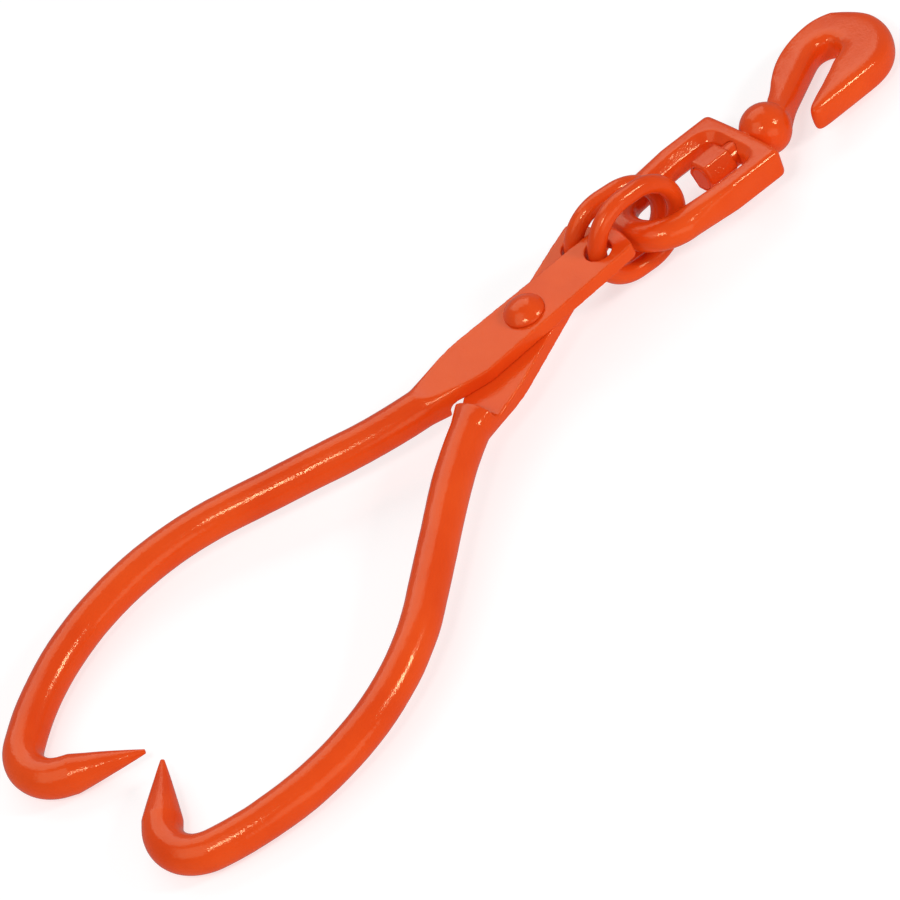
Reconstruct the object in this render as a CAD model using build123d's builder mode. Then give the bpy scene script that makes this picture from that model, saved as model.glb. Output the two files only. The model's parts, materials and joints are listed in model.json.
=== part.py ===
from build123d import *
import os

# Log tongs: two forged arms on a rivet, two oval links, a yoke and a swivel grab hook.
# Lengths are millimetres, angles degrees. +X runs from the points to the hook, +Z is up.
# The tongs are modelled as they lie on the ground, nearly closed.

# Arm bar, a round rod bowed in one plane
BAR_D = 25.0
NECK_RUN = 39.4  # pivot to the first bend
SHOULDER_TURN = 19.0
SHOULDER_R = 300.0
REACH_RUN = 80.1  # straight between the first and the second bend
BOW_TURN = 62.0
BOW_R = 187.0
JAW_RUN = 2.5  # straight between the second and the third bend
TINE_TURN = 105.6
TINE_R = 26.0
TINE_SHANK = 5.8  # third bend to the cone's root
TINE_CONE = 46.0
TINE_TIP_D = 6.0

# Arm flat, drawn out of the same bar and lapped on the other arm
FLAT_W = 37.0  # at the neck
FLAT_END_W = 32.0  # at the rounded end
FLAT_T = 10.0
FLAT_END = 78.0  # pivot to the rounded end
FLAT_END_R = 60.0
FLAT_CORNER_R = 4.5
FLAT_START = 44.0  # pivot to where the sides begin to draw in
LINK_HOLE_AT = 59.5
LINK_HOLE_D = 17.5
NECK_LENGTH = 42.0  # along the bar's centre line, from square to round
NECK_SQUARE_R = 2.0
LAP_STEP = 73.5  # pivot to the step on the lapped face
LAP_STEP_R = 5.0
FACE_STEP = 104.0  # pivot to the step on the outer face
FACE_STEP_R = 30.0
LAP_GAP = 0.2

# Rivet
RIVET_D = 16.0
RIVET_HEAD_D = 26.6
RIVET_HEAD_H = 8.0
RIVET_RIM = 1.5  # upright rim below the dome
RIVET_CLEAR = 0.05
RIVET_SEAT_GAP = 0.1

# Oval links
LINK_ROD_D = 12.0
LINK_LENGTH = 64.0  # over the rod's centre line
LINK_HEIGHT = 55.0
LINK_SEAT_GAP = 0.9

# Yoke, measured from the rod's centre at the middle of the bow
YOKE_ROD_D = 20.0
YOKE_BOW_R = 25.5
YOKE_T = 20.5
YOKE_LEG_W = 15.5
YOKE_LEG_SQUARE = 58.0  # where the legs have become square
YOKE_WINDOW_END = 84.8
YOKE_BAR_T = 14.5
YOKE_CROWN = 1.0  # rise of the crossbar's outer face
YOKE_CORNER_R = 4.5
YOKE_WINDOW_R = 8.0
YOKE_EDGE_R = 4.0
YOKE_BEVEL = 5.5  # around the window, on both faces

# Grab hook, measured from the ball's centre along the shank
BALL_R = 16.9
BALL_FLAT = 14.6  # ball's centre to its flat on the crossbar
SHANK_D = 16.0
SHANK_CLEAR = 0.08
COLLAR_GAP = 0.35
HOOK_T = 21.0
HOOK_EDGE_R = 3.0
HOOK_ROOT = (3.0, 1.5)  # neck's outer side inside the ball
HOOK_SHOULDER = (32.5, 27.3)  # where the neck runs into the back
HOOK_BACK = (76.5, 45.4)  # outermost point of the back
HOOK_NOSE = (110.6, 9.5)  # farthest point from the ball
PRONG_TIP = (23.0, -26.6)
PRONG_LEAN = 1.0  # outer side's lean from the shank
PRONG_TIP_R = 3.2
SLOT_W = 15.8
SLOT_TURN = 29.5  # slot's lean from the shank
SLOT_SEAT = (70.7, 16.6)  # centre of the slot's round end
SWELL_START = (103.8, 38.6)  # the nose's broad rounding, along the face's outer edge
SWELL_MID = (104.0, 4.5)
SWELL_END = (76.0, -25.8)
SWELL_R = 8.0
SWELL_DIP = 20.0  # slope where the rounding leaves the face

# Swivel nut
NUT_AF = 21.5
NUT_LENGTH = 22.0
NUT_GAP = 4.0
NUT_CHAMFER = 1.6
NUT_CLEAR = 0.05

# Rest pose: angle between the flats, then links, yoke and hook about the lap plane
ARM_SPREAD = 24.0
FRONT_LINK_YAW = -6.0
FRONT_LINK_DIP = 12.0
REAR_LINK_YAW = -14.0
REAR_LINK_DIP = 8.0
YOKE_AT = (88.5, -6.0, -10.0)
YOKE_YAW = -6.0
YOKE_DIP = 9.0
YOKE_ROLL = -4.0
LAY = 3.57  # lap plane's rise towards the hook as the tongs lie on the ground

bar_r = BAR_D / 2
plate_low = LAP_GAP / 2
plate_high = plate_low + FLAT_T
plate_mid = (plate_low + plate_high) / 2

# Arm forging, flat along X on the lap plane, pivot at the origin, bar bowed to +Y
with BuildLine() as bar_line:
    neck_run = PolarLine((0, 0), NECK_RUN, 180)
    shoulder = JernArc(neck_run @ 1, neck_run % 1, SHOULDER_R, -SHOULDER_TURN)
    reach_run = PolarLine(shoulder @ 1, REACH_RUN, direction=shoulder % 1)
    bow = JernArc(reach_run @ 1, reach_run % 1, BOW_R, BOW_TURN)
    jaw_run = PolarLine(bow @ 1, JAW_RUN, direction=bow % 1)
    tine = JernArc(jaw_run @ 1, jaw_run % 1, TINE_R, TINE_TURN)
    PolarLine(tine @ 1, TINE_SHANK, direction=tine % 1)
arm_line = bar_line.wire()
round_at = (FLAT_START + NECK_LENGTH) / arm_line.length
round_axis = arm_line % round_at
round_plane = Plane(arm_line @ round_at, x_dir=round_axis.cross(Vector(0, 0, 1)), z_dir=round_axis)
square_plane = Plane((-FLAT_START, 0, 0), x_dir=(0, 1, 0), z_dir=(-1, 0, 0))
corner_x = FLAT_END - FLAT_END_R + (FLAT_END_R**2 - (FLAT_END_W / 2) ** 2) ** 0.5

with BuildPart() as forging:
    # Neck, square where it joins the flat and round at the bar
    with BuildSketch(square_plane):
        RectangleRounded(FLAT_W, BAR_D, NECK_SQUARE_R)
    with BuildSketch(round_plane):
        with BuildLine():
            for step in range(8):
                CenterArc((0, 0), bar_r, 45 * step - 22.5, 45)
        make_face()
    loft()
    # Bowed bar with its turned-in conical point
    with BuildSketch(round_plane):
        Circle(bar_r)
    sweep(path=arm_line.trim(round_at, 1))
    with Locations(arm_line ^ 1):
        Cone(bar_r, TINE_TIP_D / 2, TINE_CONE, align=(Align.CENTER, Align.CENTER, Align.MIN))
    # Flat with its slightly rounded end
    with BuildSketch(Plane.XY.offset(-bar_r)):
        with BuildLine():
            Line((corner_x, FLAT_END_W / 2), (-FLAT_START, FLAT_W / 2))
            Line((-FLAT_START, FLAT_W / 2), (-FLAT_START, -FLAT_W / 2))
            Line((-FLAT_START, -FLAT_W / 2), (corner_x, -FLAT_END_W / 2))
            ThreePointArc((corner_x, -FLAT_END_W / 2), (FLAT_END, 0), (corner_x, FLAT_END_W / 2))
        flat_face = make_face()
        fillet(flat_face.vertices().group_by(Axis.X)[-1], FLAT_CORNER_R)
    extrude(amount=BAR_D)
    # Lapped face and outer face, pressed in with a rounded step at the neck
    with BuildSketch(Plane.XZ):
        with Locations((-LAP_STEP, plate_low)):
            lap_face = Rectangle(LAP_STEP + 2 * FLAT_END, BAR_D, align=(Align.MIN, Align.MAX))
        fillet(lap_face.vertices().group_by(Axis.Y)[-1].sort_by(Axis.X)[0], LAP_STEP_R)
    extrude(amount=FLAT_W, both=True, mode=Mode.SUBTRACT)
    with BuildSketch(Plane.XZ):
        with Locations((-FACE_STEP, plate_high)):
            outer_face = Rectangle(FACE_STEP + 2 * FLAT_END, 2 * FACE_STEP_R, align=(Align.MIN, Align.MIN))
        fillet(outer_face.vertices().group_by(Axis.Y)[0].sort_by(Axis.X)[0], FACE_STEP_R)
    extrude(amount=FLAT_W, both=True, mode=Mode.SUBTRACT)
    # Rivet bore and link hole
    with Locations((0, 0, plate_high)):
        Hole(RIVET_D / 2 + RIVET_CLEAR)
    with Locations((LINK_HOLE_AT, 0, plate_high)):
        Hole(LINK_HOLE_D / 2)

# Link, an oval ring standing in XZ with its centre at the origin
link_r = LINK_HEIGHT / 2
link_side = LINK_LENGTH / 2 - link_r
with BuildPart() as link:
    with BuildLine(Plane.XZ) as link_line:
        Line((-link_side, link_r), (link_side, link_r))
        ThreePointArc((link_side, link_r), (LINK_LENGTH / 2, 0), (link_side, -link_r))
        Line((link_side, -link_r), (-link_side, -link_r))
        ThreePointArc((-link_side, -link_r), (-LINK_LENGTH / 2, 0), (-link_side, link_r))
    with BuildSketch(Plane.YZ.offset(-link_side)):
        with Locations((0, link_r)):
            Circle(LINK_ROD_D / 2)
    sweep(path=link_line.wire())

# Yoke, bow at the origin, legs along +X
yoke_half = YOKE_BOW_R + YOKE_ROD_D / 2
leg_y = yoke_half - YOKE_LEG_W / 2
window_y = yoke_half - YOKE_LEG_W
bar_x = YOKE_WINDOW_END + YOKE_BAR_T / 2
crown_x = YOKE_WINDOW_END + YOKE_BAR_T
crown_side = crown_x - YOKE_CROWN
with BuildPart() as yoke:
    # Head: square legs, crossbar with a crowned outer face, window with bevelled rims
    with BuildSketch(Plane.XY.offset(-YOKE_T / 2)):
        with BuildLine():
            Line((crown_side, yoke_half), (YOKE_LEG_SQUARE, yoke_half))
            Line((YOKE_LEG_SQUARE, yoke_half), (YOKE_LEG_SQUARE, -yoke_half))
            Line((YOKE_LEG_SQUARE, -yoke_half), (crown_side, -yoke_half))
            ThreePointArc((crown_side, -yoke_half), (crown_x, 0), (crown_side, yoke_half))
        head_face = make_face()
        fillet(head_face.vertices().group_by(Axis.X)[-1], YOKE_CORNER_R)
    extrude(amount=YOKE_T)
    rims = edges().group_by(Axis.Z)[0] + edges().group_by(Axis.Z)[-1]
    fillet(rims.filter_by(lambda e: e.center().X > YOKE_LEG_SQUARE + YOKE_EDGE_R), YOKE_EDGE_R)
    with BuildSketch(Plane.XY.offset(-YOKE_T / 2)):
        with Locations((YOKE_LEG_SQUARE, 0)):
            window = Rectangle(
                YOKE_WINDOW_END - YOKE_LEG_SQUARE, 2 * window_y, align=(Align.MIN, Align.CENTER)
            )
        fillet(window.vertices().group_by(Axis.X)[-1], YOKE_WINDOW_R)
    extrude(amount=YOKE_T, mode=Mode.SUBTRACT)
    rims = edges().group_by(Axis.Z)[0] + edges().group_by(Axis.Z)[-1]
    window_rims = rims.filter_by(lambda e: YOKE_LEG_SQUARE + YOKE_EDGE_R < e.center().X < bar_x)
    chamfer(window_rims.filter_by(lambda e: abs(e.center().Y) < window_y + YOKE_BEVEL / 2), YOKE_BEVEL)
    # Legs, from the head's section to round at the bow
    for side in (1, -1):
        with BuildSketch(Plane.YZ.offset(YOKE_LEG_SQUARE)):
            with Locations((side * leg_y, 0)):
                Rectangle(YOKE_LEG_W, YOKE_T)
            fillet(vertices().sort_by(Axis.X, reverse=side > 0)[:2], YOKE_EDGE_R)
            chamfer(vertices().sort_by(Axis.X, reverse=side < 0)[:2], YOKE_BEVEL)
        with BuildSketch(Plane.YZ.offset(YOKE_BOW_R)):
            with BuildLine():
                for step in range(8):
                    CenterArc((side * YOKE_BOW_R, 0), YOKE_ROD_D / 2, 45 * step - 22.5, 45)
            make_face()
        loft()
    with BuildLine() as bow_line:
        ThreePointArc((YOKE_BOW_R, YOKE_BOW_R), (0, 0), (YOKE_BOW_R, -YOKE_BOW_R))
    with BuildSketch(Plane.YZ.offset(YOKE_BOW_R)):
        with Locations((YOKE_BOW_R, 0)):
            Circle(YOKE_ROD_D / 2)
    sweep(path=bow_line.wire())
    # Swivel bore along the yoke
    with BuildSketch(Plane.YZ.offset(YOKE_LEG_SQUARE)):
        Circle(SHANK_D / 2 + SHANK_CLEAR)
    extrude(amount=2 * crown_x, mode=Mode.SUBTRACT)

# Grab hook, ball at the origin, shank along -X, back towards +Y
slot_along = Vector(1, 0).rotate(Axis.Z, SLOT_TURN)
slot_across = Vector(0, SLOT_W / 2).rotate(Axis.Z, SLOT_TURN)
seat_left = Vector(*SLOT_SEAT) + slot_across
seat_right = Vector(*SLOT_SEAT) - slot_across
seat_end = Vector(*SLOT_SEAT) + slot_along * (SLOT_W / 2)
mouth_left = seat_left - slot_along * seat_left.dot(slot_along)
mouth_right = seat_right - slot_along * ((seat_right.X - PRONG_TIP[0]) / slot_along.X)
swell = ThreePointArc(SWELL_END, SWELL_MID, SWELL_START)
swell_centre = swell.arc_center
swell_r = swell.radius
swell_out = (swell @ 0 - swell_centre).normalized()
swell_turn = swell_out.get_signed_angle(swell @ 1 - swell_centre, Vector(0, 0, 1))
swell_slope = Vector(1, 0).rotate(Axis.Z, -SWELL_DIP)
swell_plane = Plane(swell_centre, x_dir=swell_out, z_dir=swell_out.cross(Vector(0, 0, 1)))
nut_face = YOKE_WINDOW_END - NUT_GAP
ball_x = crown_x + COLLAR_GAP + BALL_FLAT
shank_end = nut_face - NUT_LENGTH - ball_x
with BuildPart() as hook:
    with BuildSketch(Plane.XY.offset(-HOOK_T / 2)):
        with BuildLine():
            neck = Line(HOOK_ROOT, HOOK_SHOULDER)
            back = TangentArc(HOOK_SHOULDER, HOOK_BACK, tangent=neck % 1)
            bend = TangentArc(HOOK_BACK, HOOK_NOSE, tangent=back % 1)
            prong = PolarLine(PRONG_TIP, HOOK_NOSE[0], PRONG_LEAN, mode=Mode.PRIVATE)
            nose = DoubleTangentArc(HOOK_NOSE, bend % 1, prong)
            Line(nose @ 1, PRONG_TIP)
            Line(PRONG_TIP, mouth_right)
            Line(mouth_right, seat_right)
            ThreePointArc(seat_right, seat_end, seat_left)
            Line(seat_left, mouth_left)
            Line(mouth_left, HOOK_ROOT)
        make_face()
        fillet(vertices().sort_by_distance(PRONG_TIP)[:2], PRONG_TIP_R)
    extrude(amount=HOOK_T)
    fillet(edges().group_by(Axis.Z)[0] + edges().group_by(Axis.Z)[-1], HOOK_EDGE_R)
    # Broad rounding of the nose, dying out on the back and on the prong
    with BuildSketch(swell_plane):
        with BuildLine():
            TangentArc((swell_r, HOOK_T / 2), (swell_r + SWELL_R, HOOK_T / 2 - SWELL_R), tangent=swell_slope)
            Polyline(
                (swell_r + SWELL_R, HOOK_T / 2 - SWELL_R),
                (swell_r + SWELL_R, HOOK_T),
                (swell_r, HOOK_T),
                (swell_r, HOOK_T / 2),
            )
        make_face()
        mirror(about=Plane.XZ)
    revolve(axis=Axis(swell_centre, (0, 0, 1)), revolution_arc=swell_turn, mode=Mode.SUBTRACT)
    with Locations(Plane.YZ.location):
        Sphere(BALL_R)
    split(bisect_by=Plane.YZ.offset(-BALL_FLAT), keep=Keep.TOP)
    with Locations(Plane.YZ.location):
        Cylinder(SHANK_D / 2, -shank_end, align=(Align.CENTER, Align.CENTER, Align.MAX))

# Swivel nut on the shank's end, in the hook's frame
with BuildPart() as nut:
    with BuildSketch(Plane.YZ.offset(shank_end)):
        RegularPolygon(NUT_AF / 2, 6, major_radius=False)
    extrude(amount=NUT_LENGTH)
    chamfer(faces().sort_by(Axis.X)[0].edges() + faces().sort_by(Axis.X)[-1].edges(), NUT_CHAMFER)
    with BuildSketch(Plane.YZ.offset(shank_end)):
        Circle(SHANK_D / 2 + NUT_CLEAR)
    extrude(amount=NUT_LENGTH, mode=Mode.SUBTRACT)

# Rivet on the pivot axis, a domed head on each flat
head_seat = plate_high + RIVET_SEAT_GAP
head_top = head_seat + RIVET_HEAD_H
head_rim = head_seat + RIVET_RIM
head_r = RIVET_HEAD_D / 2
with BuildPart() as rivet:
    with BuildSketch(Plane.XZ):
        with BuildLine():
            Line((0, 0), (0, head_top))
            TangentArc((0, head_top), (head_r, head_rim), tangent=(1, 0))
            Line((head_r, head_rim), (head_r, head_seat))
            Line((head_r, head_seat), (RIVET_D / 2, head_seat))
            Line((RIVET_D / 2, head_seat), (RIVET_D / 2, 0))
            Line((RIVET_D / 2, 0), (0, 0))
        make_face()
    revolve(axis=Axis.Z)
    mirror(about=Plane.XY)

# Rest pose in the lap plane's frame, then laid on the ground
front_turn = Rotation(0, 0, -ARM_SPREAD / 2)
rear_turn = Rotation(0, 0, ARM_SPREAD / 2) * Rotation(180, 0, 0)
hole_at = Location((LINK_HOLE_AT, 0, plate_mid))
link_shift = Location((LINK_LENGTH / 2 - (LINK_HOLE_D - LINK_ROD_D) / 2 + LINK_SEAT_GAP, 0, 0))
front_link_pose = (
    Location((front_turn * hole_at).position)
    * Rotation(0, 0, FRONT_LINK_YAW)
    * Rotation(0, FRONT_LINK_DIP, 0)
    * link_shift
)
rear_link_pose = (
    Location((rear_turn * hole_at).position)
    * Rotation(0, 0, REAR_LINK_YAW)
    * Rotation(0, REAR_LINK_DIP, 0)
    * link_shift
)
yoke_pose = (
    Location(YOKE_AT)
    * Rotation(0, 0, YOKE_YAW)
    * Rotation(0, YOKE_DIP, 0)
    * Rotation(YOKE_ROLL, 0, 0)
)
hook_pose = yoke_pose * Location((ball_x, 0, 0))
ground = Rotation(0, -LAY, 0)
laid = Compound(
    children=[
        forging.part.moved(ground * front_turn),
        forging.part.moved(ground * rear_turn),
        link.part.moved(ground * front_link_pose),
        link.part.moved(ground * rear_link_pose),
        hook.part.moved(ground * hook_pose),
    ]
).bounding_box()
frame = Location((-laid.center().X, -laid.center().Y, -laid.min.Z)) * ground

os.makedirs("parts", exist_ok=True)
with BuildPart() as front_arm:
    with Locations(frame * front_turn):
        add(forging.part)
front_arm.part.label = "front_arm"
export_step(front_arm.part, "parts/front_arm.step")

with BuildPart() as rear_arm:
    with Locations(frame * rear_turn):
        add(forging.part)
rear_arm.part.label = "rear_arm"
export_step(rear_arm.part, "parts/rear_arm.step")

with BuildPart() as pivot_rivet:
    with Locations(frame):
        add(rivet.part)
pivot_rivet.part.label = "pivot_rivet"
export_step(pivot_rivet.part, "parts/pivot_rivet.step")

with BuildPart() as front_link:
    with Locations(frame * front_link_pose):
        add(link.part)
front_link.part.label = "front_link"
export_step(front_link.part, "parts/front_link.step")

with BuildPart() as rear_link:
    with Locations(frame * rear_link_pose):
        add(link.part)
rear_link.part.label = "rear_link"
export_step(rear_link.part, "parts/rear_link.step")

with BuildPart() as swivel_yoke:
    with Locations(frame * yoke_pose):
        add(yoke.part)
swivel_yoke.part.label = "swivel_yoke"
export_step(swivel_yoke.part, "parts/swivel_yoke.step")

with BuildPart() as grab_hook:
    with Locations(frame * hook_pose):
        add(hook.part)
grab_hook.part.label = "grab_hook"
export_step(grab_hook.part, "parts/grab_hook.step")

with BuildPart() as swivel_nut:
    with Locations(frame * hook_pose):
        add(nut.part)
swivel_nut.part.label = "swivel_nut"
export_step(swivel_nut.part, "parts/swivel_nut.step")
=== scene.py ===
# %% [markdown]
# # Log tongs in orange enamel
#
# The tongs are two forged arms on a rivet. Two oval links join the arms' flat ends to a yoke, and
# a grab hook swivels in the yoke. Their solids come packed from the CAD model, in metres and in
# one frame, so every piece made here already has its place. This lesson gives them the softened
# edges and the thick paint that the real tongs have.

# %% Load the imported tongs
import json
import math

import bpy
from mathutils import Matrix, Vector


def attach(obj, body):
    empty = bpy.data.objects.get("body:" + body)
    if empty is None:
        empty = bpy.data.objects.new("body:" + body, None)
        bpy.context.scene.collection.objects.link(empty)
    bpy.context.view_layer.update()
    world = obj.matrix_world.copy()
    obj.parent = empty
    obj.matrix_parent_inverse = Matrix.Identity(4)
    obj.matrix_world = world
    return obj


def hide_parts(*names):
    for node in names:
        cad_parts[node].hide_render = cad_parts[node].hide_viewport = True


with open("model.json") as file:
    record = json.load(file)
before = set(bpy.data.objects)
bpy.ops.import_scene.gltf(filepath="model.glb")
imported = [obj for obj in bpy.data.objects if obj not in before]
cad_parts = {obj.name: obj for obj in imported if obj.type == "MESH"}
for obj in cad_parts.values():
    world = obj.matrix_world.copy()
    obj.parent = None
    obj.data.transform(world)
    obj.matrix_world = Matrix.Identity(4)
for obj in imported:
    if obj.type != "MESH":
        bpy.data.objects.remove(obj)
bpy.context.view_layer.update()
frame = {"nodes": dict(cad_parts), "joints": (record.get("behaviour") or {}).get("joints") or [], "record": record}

nodes = frame["nodes"]
bodies = frame["record"]["behaviour"]["bodies"]
body_of = {node: body for body, members in bodies.items() for node in members}
joints = {joint["name"]: joint for joint in frame["joints"]}
print("solids:", ", ".join(sorted(nodes)))

# %% [markdown]
# The tongs lie nearly closed on the ground, and everything is seen against the plane in which
# the arms cross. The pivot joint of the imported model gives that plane: its point is the rivet,
# its axis the rivet's own axis. Camera and lights are placed from it, so that they stay right
# when the solids change a little.

# %% The pivot's own frame
PIVOT_AT = Vector(joints["arm_pivot"]["pos_m"])
pivot_up = Vector(joints["arm_pivot"]["axis"]).normalized()
pivot_across = Vector((0, 1, 0))
pivot_along = pivot_across.cross(pivot_up).normalized()


def from_pivot(along, across, up):
    """A direction or offset given along the tongs, across them and up from the lap plane."""
    return pivot_along * along + pivot_across * across + pivot_up * up


print("pivot at", [round(v, 4) for v in PIVOT_AT])

# %% [markdown]
# The photograph looks down on the tongs at about forty-five degrees with a long lens, and the
# picture is turned so that the tongs run up to the right. A camera can be aimed with a
# constraint, but its roll is then hard to set. Here the three camera directions are written out
# from three angles, which gives the roll directly.

# %% Camera directions at the photograph's angle
CAMERA_HEADING = math.radians(26.3)
CAMERA_HEIGHT = math.radians(44.6)
CAMERA_ROLL = math.radians(30.0)

level_right = from_pivot(math.cos(CAMERA_HEADING), -math.sin(CAMERA_HEADING), 0)
level_ahead = from_pivot(math.sin(CAMERA_HEADING), math.cos(CAMERA_HEADING), 0)
tilted_up = level_ahead * math.sin(CAMERA_HEIGHT) + pivot_up * math.cos(CAMERA_HEIGHT)
to_camera = pivot_up * math.sin(CAMERA_HEIGHT) - level_ahead * math.cos(CAMERA_HEIGHT)
view_right = level_right * math.cos(CAMERA_ROLL) - tilted_up * math.sin(CAMERA_ROLL)
view_up = tilted_up * math.cos(CAMERA_ROLL) + level_right * math.sin(CAMERA_ROLL)
print("the camera lies towards", [round(v, 3) for v in to_camera])

# %% [markdown]
# A long lens keeps the far hook as large as the near points. Its length follows from how much of
# the tongs' own plane has to fill the picture at the chosen distance.

# %% Camera
CAMERA_DISTANCE = 4.0
CAMERA_REACH = 50.0
CAMERA_AIM = (-0.100, -0.0191, 0.0)
PICTURE_WIDTH = 0.5422  # at the aim point, in metres
SENSOR = 36.0

lens = bpy.data.cameras.new("photo_camera")
lens.sensor_width = SENSOR
lens.lens = SENSOR * CAMERA_DISTANCE / PICTURE_WIDTH
lens.clip_end = CAMERA_REACH
camera = bpy.data.objects.new("photo_camera", lens)
bpy.context.scene.collection.objects.link(camera)
aim = PIVOT_AT + from_pivot(*CAMERA_AIM)
turn = Matrix((view_right, view_up, to_camera)).transposed().to_4x4()
camera.matrix_world = Matrix.Translation(aim + to_camera * CAMERA_DISTANCE) @ turn
bpy.context.scene.camera = camera
print("camera lens", round(lens.lens, 1), "mm")

# %% [markdown]
# The tongs are dip painted: one glossy orange enamel covers forging, rivet, links and hook alike.
# Thick enamel is never quite even. It shows a fine orange peel that breaks the highlights into
# dots along the edges, slow waves of the hammered steel below, and a slightly deeper tone where
# it ran together. All of that could be painted on maps. Noise on object coordinates needs none,
# and it keeps its size in millimetres on a small nut and on a long arm alike. Three noises do it,
# from coarse to fine. Their scale counts the grains in a metre.

# %% Tones, grain and gloss of the enamel
ENAMEL_ENDS = (
    (0.32, (0.75, 0.056, 0.0052, 1.0)),  # place on the colour ramp, then the deep tone
    (0.68, (0.83, 0.078, 0.0085, 1.0)),  # the same for the light tone
)
ENAMEL_MIDDLE = (0.50, (0.80, 0.068, 0.0070, 1.0))
POOL = {"Scale": 18.0, "Detail": 3.0, "Roughness": 0.55}
WAVE = {"Scale": 55.0, "Detail": 2.0, "Roughness": 0.5}
PEEL = {"Scale": 620.0, "Detail": 2.0, "Roughness": 0.5}
WAVE_BUMP = {"Strength": 0.20, "Distance": 0.0008}
PEEL_BUMP = {"Strength": 0.42, "Distance": 0.0003}
GLOSS = {"From Min": 0.3, "From Max": 0.7, "To Min": 0.10, "To Max": 0.19}
SHINE = 0.45
SHINE_TINT = (1.0, 0.93, 0.52, 1.0)
print("enamel from", POOL["Scale"], "to", PEEL["Scale"], "grains a metre")

# %% [markdown]
# Every piece gets a material of its own with the same nodes. Only the noise is moved from piece to
# piece, by a Mapping node, so that no two show the same spots. The coarse noise picks the tone on a
# colour ramp, the middle one sets the gloss and the slow waves, and the fine one is the peel. A
# second Bump node takes the first one's normal, which adds the peel on top of the waves. The mirror
# image in orange enamel is a little warm, and the specular tint gives that.

# %% Orange enamel
def enamel(name, offset):
    """Glossy dip enamel; the offset moves the noise so that no two pieces look alike."""
    material = bpy.data.materials.new(name)
    material.use_nodes = True
    tree = material.node_tree
    shader = tree.nodes["Principled BSDF"]

    def node(kind, values):
        made = tree.nodes.new(kind)
        for socket, value in values.items():
            made.inputs[socket].default_value = value
        return made

    coords = tree.nodes.new("ShaderNodeTexCoord")
    shift = node("ShaderNodeMapping", {"Location": offset})
    tree.links.new(coords.outputs["Object"], shift.inputs["Vector"])

    def noise(values):
        made = node("ShaderNodeTexNoise", values)
        tree.links.new(shift.outputs["Vector"], made.inputs["Vector"])
        return made

    pool = noise(POOL)
    wave = noise(WAVE)
    peel = noise(PEEL)

    tone = tree.nodes.new("ShaderNodeValToRGB")
    for stop, (position, color) in zip(tone.color_ramp.elements, ENAMEL_ENDS):
        stop.position = position
        stop.color = color
    tone.color_ramp.elements.new(ENAMEL_MIDDLE[0]).color = ENAMEL_MIDDLE[1]
    tree.links.new(pool.outputs["Fac"], tone.inputs["Fac"])
    tree.links.new(tone.outputs["Color"], shader.inputs["Base Color"])

    gloss = node("ShaderNodeMapRange", GLOSS)
    tree.links.new(wave.outputs["Fac"], gloss.inputs["Value"])
    tree.links.new(gloss.outputs["Result"], shader.inputs["Roughness"])

    waves = node("ShaderNodeBump", WAVE_BUMP)
    tree.links.new(wave.outputs["Fac"], waves.inputs["Height"])
    grain = node("ShaderNodeBump", PEEL_BUMP)
    tree.links.new(peel.outputs["Fac"], grain.inputs["Height"])
    tree.links.new(waves.outputs["Normal"], grain.inputs["Normal"])
    tree.links.new(grain.outputs["Normal"], shader.inputs["Normal"])

    shader.inputs["Specular IOR Level"].default_value = SHINE
    shader.inputs["Specular Tint"].default_value = SHINE_TINT
    return material


print("enamel with a roughness from", GLOSS["To Min"], "to", GLOSS["To Max"])

# %% [markdown]
# A piece that stands for a imported solid has to move with it and hide it. It is told which body it
# rides on and which solid it replaces.

# %% Painting a piece
NOISE_STEP = (0.37, 0.21, 0.13)  # in metres, from one piece's noise to the next one's
PAINT_ORDER = (
    "front_arm",
    "rear_arm",
    "pivot_rivet",
    "swivel_nut",
    "swivel_yoke",
    "grab_hook",
    "front_link",
    "rear_link",
)


def paint(piece, name):
    """Enamel for a solid, or for the piece that stands for it and rides where it rides."""
    number = PAINT_ORDER.index(name)
    piece.data.materials.clear()
    piece.data.materials.append(enamel("enamel_" + name, [step * number for step in NOISE_STEP]))
    if piece is not nodes[name]:
        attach(piece, body_of[name])
        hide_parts(name)
    print(piece.name, "rides on", body_of[name], "with", len(piece.data.polygons), "faces")


print("bodies to ride on:", ", ".join(sorted(bodies)))

# %% [markdown]
# What a modifier does to a piece is fixed by modifier_apply, as the Apply button does by hand. A
# vertex group can hold a modifier to some places. Its weights are worked out here from where each
# vertex lies, with a soft fade at the border, so that no line shows where the modifier ends.

# %% Modifiers and where they work
def applied(piece, name, kind, **settings):
    """Give the active piece a modifier and apply it."""
    modifier = piece.modifiers.new(name, kind)
    for setting, value in settings.items():
        setattr(modifier, setting, value)
    bpy.ops.object.modifier_apply(modifier=name)


def grouped(piece, name, share):
    """A vertex group whose weight at a place is what share gives for it."""
    group = piece.vertex_groups.new(name=name)
    for vertex in piece.data.vertices:
        group.add([vertex.index], share(vertex.co), "REPLACE")


def fading(distance, full, none):
    """1 up to the distance full, 0 from the distance none on, and even between them."""
    return min(max((none - distance) / (none - full), 0.0), 1.0)


print("halfway out, a fade leaves", fading(0.5, 0.0, 1.0))

# %% [markdown]
# A forging has no sharp edge, and the paint rounds what is left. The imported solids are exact, with
# crisp edges between their faces. A Bevel modifier would need clean edge loops, and these solids
# are loose triangles. So each one is copied, its triangles are merged, and the copy is cast again
# in small even cells with a Remesh modifier. A Smooth modifier then wears the edges round by a
# cell or two and hardly moves a flat or a broad curve. Some places of a forging are rounder than
# others, and a second Smooth modifier goes on there. That leaves far more faces than a flat needs,
# so a Decimate modifier takes half of them or more away. The solid itself stays hidden below.

# %% A softened copy of a solid
CELL = 0.0006
SAME_PLACE = 1e-6
SMOOTHING = 0.5


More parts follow.
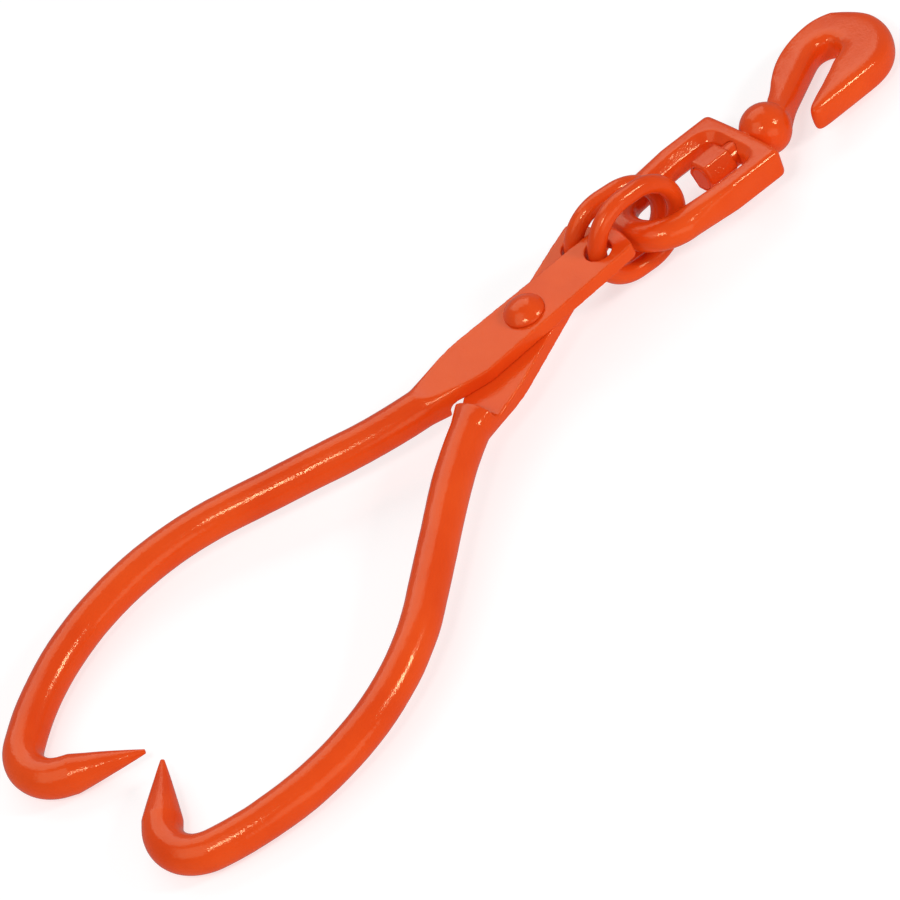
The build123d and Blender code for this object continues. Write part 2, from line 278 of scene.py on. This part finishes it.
def softened(name, rounds, kept, more=None, more_rounds=0):
    """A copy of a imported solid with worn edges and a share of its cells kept, selected alone.

    more tells for a place on the solid how much of the further rounds it gets, from 0 to 1.
    """
    bpy.ops.object.select_all(action="DESELECT")
    piece = bpy.data.objects.new("painted_" + name, nodes[name].data.copy())
    bpy.context.scene.collection.objects.link(piece)
    bpy.context.view_layer.objects.active = piece
    piece.select_set(True)
    bpy.ops.object.mode_set(mode="EDIT")
    bpy.ops.mesh.select_all(action="SELECT")
    bpy.ops.mesh.remove_doubles(threshold=SAME_PLACE)
    bpy.ops.object.mode_set(mode="OBJECT")
    applied(piece, "cast", "REMESH", mode="VOXEL", voxel_size=CELL)
    applied(piece, "worn", "SMOOTH", factor=SMOOTHING, iterations=rounds)
    if more:
        grouped(piece, "rounder", more)
        applied(
            piece, "rounder", "SMOOTH", factor=SMOOTHING, iterations=more_rounds, vertex_group="rounder"
        )
    applied(piece, "thinned", "DECIMATE", ratio=kept)
    bpy.ops.object.shade_smooth()
    return piece


print("cells of", CELL * 1000, "mm")

# %% [markdown]
# The tines' tips and the end of the hook's prong are shaped once more after the softening. A smith
# draws such an end out, and the metal behind it follows. Proportional editing does the same: the
# chosen vertices move, and their surroundings follow less and less with the distance. A tine's tip
# is found from the rivet, and it is pulled in to a finer point than the solid has.

# %% Drawing out an end, and the tines' tips
TIP_ALONG, TIP_ACROSS = -0.3609, 0.0077  # a tine's tip, from the rivet
TIP_END = 0.0036
TIP_LEFT = 0.45  # of the tip's width


def drawn(piece, chosen, operator, reach, **settings):
    """Move the chosen places of the active piece, with their surroundings up to the reach."""
    for vertex in piece.data.vertices:
        vertex.select = chosen(vertex.co)
    bpy.ops.object.mode_set(mode="EDIT")
    operator(use_proportional_edit=True, proportional_size=reach, **settings)
    bpy.ops.object.mode_set(mode="OBJECT")


def tip_of(name):
    """A tine's tip; the two arms' tips lie on either side of the middle."""
    side = 1 if name == "front_arm" else -1
    return PIVOT_AT + from_pivot(TIP_ALONG, side * TIP_ACROSS, 0)


print("tine tips at", [round(v, 3) for v in tip_of("front_arm")], [round(v, 3) for v in tip_of("rear_arm")])

# %% [markdown]
# The arms are drawn out under a hammer. The neck, where the flat runs into the bar, is hammered
# until no edge is left, while the cone of the tine keeps the ring at its root. Both follow from how
# far a place lies from the rivet and from the tine's tip.

# %% Where an arm is worn
NECK_AT = 0.090  # from the rivet
NECK_FULL, NECK_NONE = 0.0220, 0.0308  # from there, where the neck's wear is full and where it ends
TINE_LENGTH, TINE_NONE = 0.046, 0.0552  # from the tip, where the tine ends and where wear is back
EDGE_WEAR = 0.20  # on the flats and bars, as a share of the neck's


def arm_wear(name):
    """How much a place on an arm is worn: most on the neck, and not at all on the tine."""

    def wear(place):
        neck = fading(abs((place - PIVOT_AT).length - NECK_AT), NECK_FULL, NECK_NONE)
        tine = fading((place - tip_of(name)).length, TINE_LENGTH, TINE_NONE)
        return max(neck, EDGE_WEAR * (1 - tine))

    return wear


print("worn most within", NECK_FULL, "m of the neck's middle,", NECK_AT, "m from the rivet")

# %% [markdown]
# The round bars keep a trace of the hammer: slow shallow waves that make a long highlight swim. A
# Displace modifier with a cloud texture gives those waves. The flats were pressed in a die and lie
# on each other, so the waves fade out before they reach them.

# %% Arms
HAMMER_DEPTH = 0.0007
HAMMER_SIZE = 0.035
BAR_FROM, BAR_FULL = 0.090, 0.130  # from the rivet, where the waves begin and are full


def on_bar(place):
    """How much a place belongs to the round bar."""
    return fading(-(place - PIVOT_AT).length, -BAR_FULL, -BAR_FROM)


hammered = bpy.data.textures.new("hammered", "CLOUDS")
hammered.noise_scale = HAMMER_SIZE
for name in ("front_arm", "rear_arm"):
    arm = softened(name, rounds=4, kept=0.30, more=arm_wear(name), more_rounds=30)
    tip = tip_of(name)
    drawn(
        arm,
        lambda place: (place - tip).length < TIP_END,
        bpy.ops.transform.resize,
        TINE_LENGTH,
        value=(TIP_LEFT, TIP_LEFT, TIP_LEFT),
        center_override=tip,
        proportional_edit_falloff="LINEAR",
    )
    grouped(arm, "bar", on_bar)
    applied(
        arm,
        "waves",
        "DISPLACE",
        texture=hammered,
        texture_coords="LOCAL",
        strength=HAMMER_DEPTH,
        vertex_group="bar",
    )
    paint(arm, name)

# %% [markdown]
# The rivet was hammered to a domed head on each flat, and the nut is screwed on the hook's shank
# inside the yoke. Both are small, and their edges are worn less than those of yoke and hook.

# %% Rivet and nut
paint(softened("pivot_rivet", rounds=4, kept=0.50), "pivot_rivet")
paint(softened("swivel_nut", rounds=6, kept=0.50), "swivel_nut")

# %% [markdown]
# The yoke is drop forged. Its edges are rounder than those of the flats, and the same modifiers
# show that with more rounds of smoothing.

# %% Yoke
paint(softened("swivel_yoke", rounds=14, kept=0.40), "swivel_yoke")

# %% [markdown]
# The hook is drop forged too. Its prong ends like a finger, its nose and its neck are round, and so
# is the seat of the slot, where a chain lies. A fillet of one size on the whole solid can't show
# that, and one at each place soon fails. Here the same smoothing simply goes on for longer at those
# places. They are named by points in the hook's own plane: along the shank from the ball, and
# across towards the back.

# %% Where the hook is rounder
ROUND_PLACES = {
    "prong": (0.70, [(0.022, -0.026), (0.034, -0.025), (0.046, -0.025), (0.060, -0.025)]),
    "nose": (0.70, [(0.076, -0.025), (0.090, -0.017), (0.101, -0.005), (0.107, 0.009), (0.109, 0.024)]),
    "seat": (0.90, [(0.0707, 0.0166)]),
    "neck": (0.90, [(0.034, 0.003), (0.048, 0.011), (0.062, 0.020)]),
}
ROUND_FULL, ROUND_NONE = 0.008, 0.021  # from a point, where the rounding is full and where it ends
BALL_AT = Vector(joints["hook_swivel"]["pos_m"])
hook_along = Vector(joints["hook_swivel"]["axis"]).normalized()
if hook_along.dot(pivot_along) < 0:
    hook_along.negate()
hook_across = pivot_up.cross(hook_along).normalized()


def from_point(place, point):
    """How far a place lies from a point of the hook's own plane, seen along the plane's normal."""
    away = place - BALL_AT
    return math.hypot(away.dot(hook_along) - point[0], away.dot(hook_across) - point[1])


def on_round(place):
    """How much further a place is rounded."""
    return max(
        share * fading(from_point(place, point), ROUND_FULL, ROUND_NONE)
        for share, points in ROUND_PLACES.values()
        for point in points
    )


print("hook runs", [round(v, 3) for v in hook_along], "from", [round(v, 3) for v in BALL_AT])

# %% [markdown]
# So much smoothing also takes a few millimetres off the prong's end. It is drawn out again by as
# much, along the shank. Only what hangs together with the end follows, so the neck across the slot
# stays where it is.

# %% Hook
PRONG_END, PRONG_TIP = (0.025, -0.0235), 0.006  # the end's middle in the hook's plane, and its size
PRONG_LOSS = 0.0030  # what the rounding takes off the prong's end
PRONG_REACH = 0.025

hook = softened("grab_hook", rounds=10, kept=0.40, more=on_round, more_rounds=900)
drawn(
    hook,
    lambda place: from_point(place, PRONG_END) < PRONG_TIP,
    bpy.ops.transform.translate,
    PRONG_REACH,
    value=-hook_along * PRONG_LOSS,
    use_proportional_connected=True,
)
paint(hook, "grab_hook")

# %% [markdown]
# The two oval links are bent from round rod. A round rod has no edge to wear, so these solids stay
# as they are and only take the enamel.

# %% Links
paint(nodes["front_link"], "front_link")
paint(nodes["rear_link"], "rear_link")

# %% [markdown]
# The tongs were photographed on white. A large pale floor stands in for it. It glows a little, so
# that it stays white below the tongs. Its mirror image would lie as a pink haze on the undersides,
# so reflections don't see it.

# %% Pale floor
FLOOR_SIZE = 30
FLOOR_PAINT = {
    "Base Color": (0.45, 0.45, 0.45, 1),
    "Roughness": 0.9,
    "Specular IOR Level": 0.0,
    "Emission Color": (1, 1, 1, 1),
    "Emission Strength": 0.64,
}

bpy.ops.object.select_all(action="DESELECT")
bpy.ops.mesh.primitive_plane_add(size=FLOOR_SIZE, location=(0, 0, 0))
floor = bpy.context.object
floor.name = "pale_floor"
floor.visible_glossy = False
chalk = bpy.data.materials.new("pale_floor")
chalk.use_nodes = True
for socket, value in FLOOR_PAINT.items():
    chalk.node_tree.nodes["Principled BSDF"].inputs[socket].default_value = value
floor.data.materials.append(chalk)
print("floor of", FLOOR_SIZE, "m")

# %% [markdown]
# A soft white sky all round keeps every shadow soft. The plain Standard view keeps the orange as
# strong as the paint is. A filmic view would pale it in the bright places.

# %% Sky and view
SKY_GLOW = 0.26

sky = bpy.data.worlds.new("studio_sky")
sky.use_nodes = True
background = sky.node_tree.nodes["Background"]
background.inputs["Color"].default_value = (1, 1, 1, 1)
background.inputs["Strength"].default_value = SKY_GLOW
bpy.context.scene.world = sky
bpy.context.scene.view_settings.view_transform = "Standard"
print("sky at", SKY_GLOW)

# %% [markdown]
# Two bright windows stand where the highlights on the ball, on the hook's nose and along the bars
# mirror them: one close to the camera, one to its right. Three wide screens are softer. One stands
# opposite the camera and lies as a pale veil on every face that looks up, one stands to the
# camera's left and ends in a clear line along the round bars, and one stands low in front and fills
# in the sides. They could be emitting planes, but area lights need no mesh and give cleaner light.
# Each is placed in the camera's own terms, because a highlight moves with the eye.

# %% Studio windows
# Each light: its way to the right, up and back to the camera, distance, size, and glow
LIGHTS = {
    "window_left": ((-0.30, 0.03, 0.95), 2.6, (0.45, 0.45), 22),
    "window_right": ((0.62, 0.47, 0.63), 2.6, (0.50, 0.50), 26),
    "screen_far": ((-0.50, 0.87, 0.00), 3.0, (3.0, 2.2), 1.4),
    "screen_left": ((-0.68, 0.05, 0.73), 3.0, (2.0, 2.6), 1.1),
    "screen_front": ((0.51, -0.23, 0.81), 3.0, (2.6, 1.4), 1.1),
}


def window(name, towards, distance, size, glow):
    """An area light that stands some way from the pivot and faces it."""
    right, up, back = towards
    way = (view_right * right + view_up * up + to_camera * back).normalized()
    across = (view_right - way * view_right.dot(way)).normalized()
    panel = bpy.data.lights.new(name, "AREA")
    panel.shape = "RECTANGLE"
    panel.size, panel.size_y = size
    panel.energy = math.pi * glow * size[0] * size[1]
    lamp = bpy.data.objects.new(name, panel)
    bpy.context.scene.collection.objects.link(lamp)
    turn = Matrix((across, way.cross(across), way)).transposed().to_4x4()
    lamp.matrix_world = Matrix.Translation(PIVOT_AT + way * distance) @ turn
    print(name, round(panel.energy, 1), "W at", [round(v, 2) for v in lamp.matrix_world.translation])


for name, light in LIGHTS.items():
    window(name, *light)
